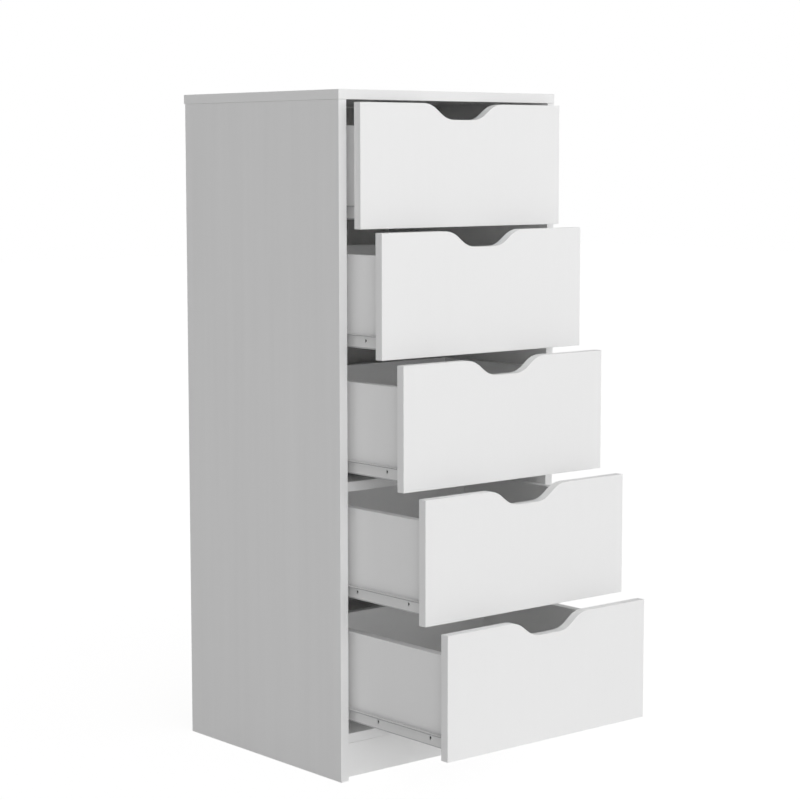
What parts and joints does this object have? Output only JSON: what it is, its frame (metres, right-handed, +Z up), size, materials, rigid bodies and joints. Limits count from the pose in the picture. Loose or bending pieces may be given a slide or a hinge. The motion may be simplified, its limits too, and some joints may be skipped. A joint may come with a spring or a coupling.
{
  "type": "tall chest of drawers",
  "caption": "Tall narrow white chest with inset drawers on roller runners, each front with a curved finger notch in its top edge.",
  "frame": {"origin": "on the floor, at the middle of the rectangle that the chest and its drawers cover as they stand open at rest; the carcass's front face is 89 mm in front of it", "axes": "+Z up, +Y to the back of the chest, +X to the right of a person who faces the drawers"},
  "size_m": [0.45, 0.638, 1.068],
  "materials": {
    "white_melamine": "satin white melamine foil on particle board",
    "fibreboard": "thin fibreboard, white foil on one face and bare brown on the other",
    "coated_steel": "white epoxy-coated steel",
    "nylon": "off-white nylon rollers",
    "zinc": "zinc-plated screws and nails"
  },
  "bodies": {
    "carcass": {"left_side_panel": "white_melamine", "right_side_panel": "white_melamine", "top_panel": "white_melamine", "plinth": "white_melamine", "bottom_panel": "white_melamine", "middle_shelf": "white_melamine", "back_panel": "fibreboard", "carcass_1_left_runner": "coated_steel", "carcass_1_right_runner": "coated_steel", "carcass_2_left_runner": "coated_steel", "carcass_2_right_runner": "coated_steel", "carcass_3_left_runner": "coated_steel", "carcass_3_right_runner": "coated_steel", "carcass_4_left_runner": "coated_steel", "carcass_4_right_runner": "coated_steel", "carcass_5_left_runner": "coated_steel", "carcass_5_right_runner": "coated_steel"},
    "drawer_1": {"drawer_1_front": "white_melamine", "drawer_1_left_side": "white_melamine", "drawer_1_right_side": "white_melamine", "drawer_1_back": "white_melamine", "drawer_1_bottom": "fibreboard", "drawer_1_left_runner": "coated_steel", "drawer_1_right_runner": "coated_steel"},
    "drawer_2": {"drawer_2_front": "white_melamine", "drawer_2_left_side": "white_melamine", "drawer_2_right_side": "white_melamine", "drawer_2_back": "white_melamine", "drawer_2_bottom": "fibreboard", "drawer_2_left_runner": "coated_steel", "drawer_2_right_runner": "coated_steel"},
    "drawer_3": {"drawer_3_front": "white_melamine", "drawer_3_left_side": "white_melamine", "drawer_3_right_side": "white_melamine", "drawer_3_back": "white_melamine", "drawer_3_bottom": "fibreboard", "drawer_3_left_runner": "coated_steel", "drawer_3_right_runner": "coated_steel"},
    "drawer_4": {"drawer_4_front": "white_melamine", "drawer_4_left_side": "white_melamine", "drawer_4_right_side": "white_melamine", "drawer_4_back": "white_melamine", "drawer_4_bottom": "fibreboard", "drawer_4_left_runner": "coated_steel", "drawer_4_right_runner": "coated_steel"},
    "drawer_5": {"drawer_5_front": "white_melamine", "drawer_5_left_side": "white_melamine", "drawer_5_right_side": "white_melamine", "drawer_5_back": "white_melamine", "drawer_5_bottom": "fibreboard", "drawer_5_left_runner": "coated_steel", "drawer_5_right_runner": "coated_steel"}
  },
  "joints": [
    {"name": "drawer_1_slide", "type": "slide", "parent": "carcass", "child": "drawer_1", "axis": [0, -1, 0], "range_m": [-0.03, 0.232]},
    {"name": "drawer_2_slide", "type": "slide", "parent": "carcass", "child": "drawer_2", "axis": [0, -1, 0], "range_m": [-0.08, 0.182]},
    {"name": "drawer_3_slide", "type": "slide", "parent": "carcass", "child": "drawer_3", "axis": [0, -1, 0], "range_m": [-0.13, 0.132]},
    {"name": "drawer_4_slide", "type": "slide", "parent": "carcass", "child": "drawer_4", "axis": [0, -1, 0], "range_m": [-0.18, 0.082]},
    {"name": "drawer_5_slide", "type": "slide", "parent": "carcass", "child": "drawer_5", "axis": [0, -1, 0], "range_m": [-0.23, 0.032]}
  ]
}
